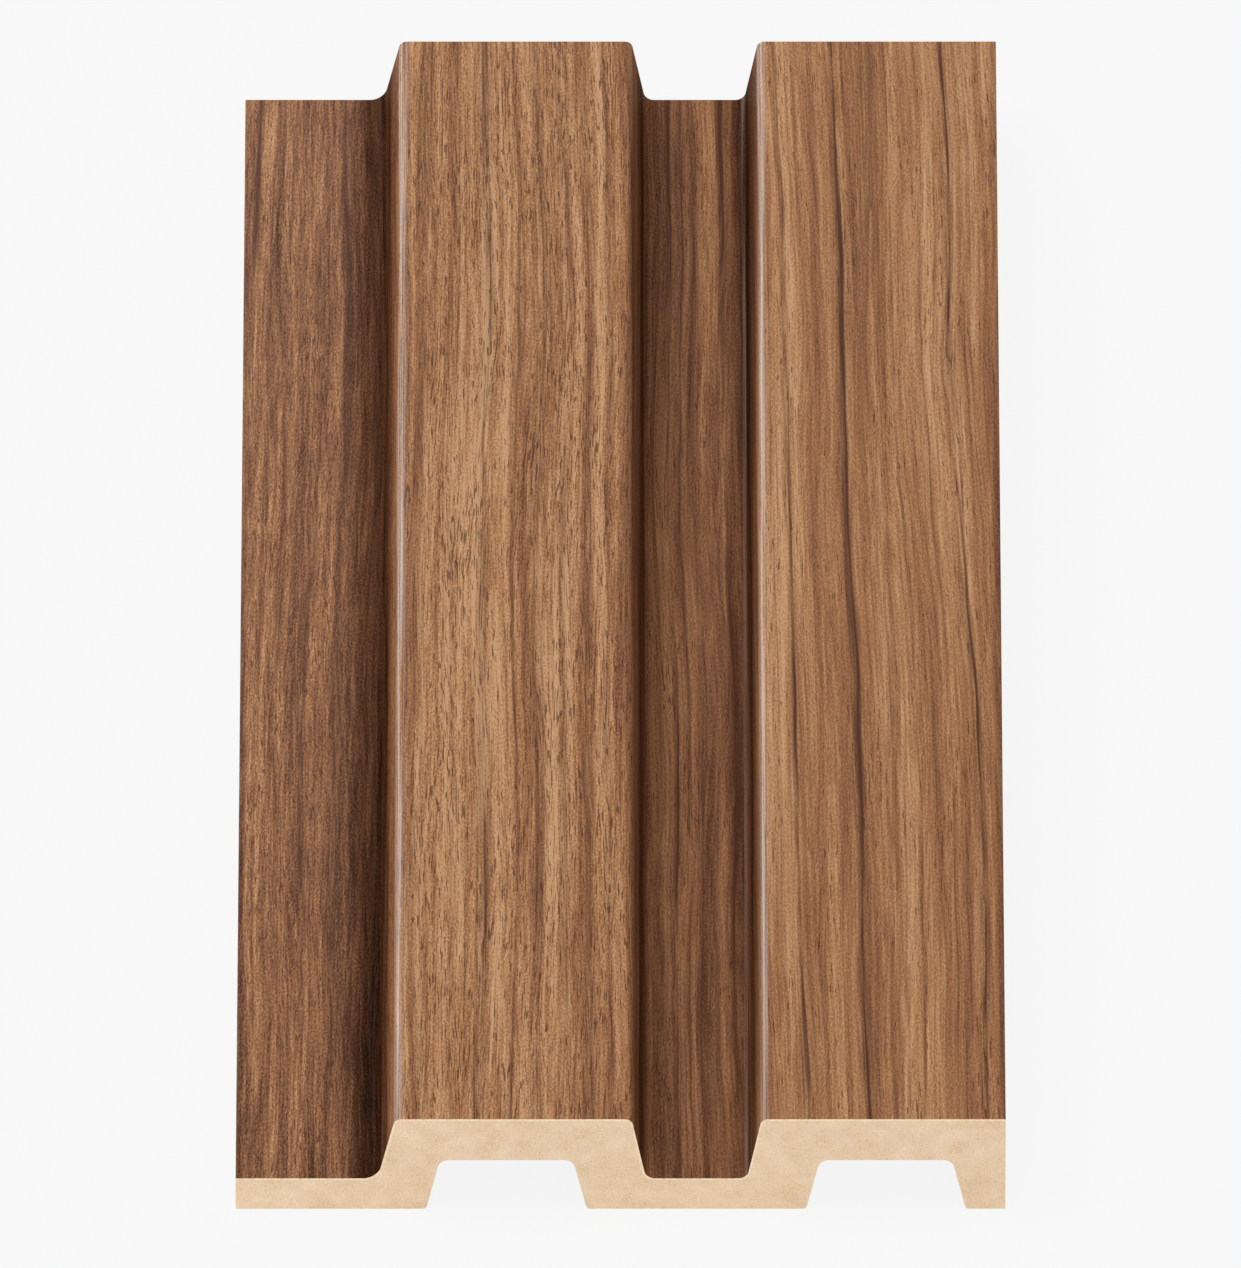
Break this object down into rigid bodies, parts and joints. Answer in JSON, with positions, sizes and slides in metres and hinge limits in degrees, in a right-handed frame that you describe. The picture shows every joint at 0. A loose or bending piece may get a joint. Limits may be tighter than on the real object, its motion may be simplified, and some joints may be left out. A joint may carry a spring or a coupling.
{
  "type": "wall cladding plank",
  "caption": "Ribbed wall cladding plank: broad flat ribs with drafted walls, a groove, a low flange on one edge, open channels in the back and a wood-grain film on the face.",
  "frame": {"origin": "middle of the plank's width and length, in the plane of its back", "axes": "+Z out of the decorated face, +Y along the length, +X from the flanged edge to the full-height edge"},
  "size_m": [0.16, 0.39, 0.023],
  "materials": {
    "foamed_core": "fine-celled foamed PVC, beige, sawn at the ends",
    "wood_film": "satin printed PVC film with embossed wood pores"
  },
  "bodies": {
    "root": {"plank_core": "foamed_core", "decor_film": "wood_film"}
  },
  "joints": []
}
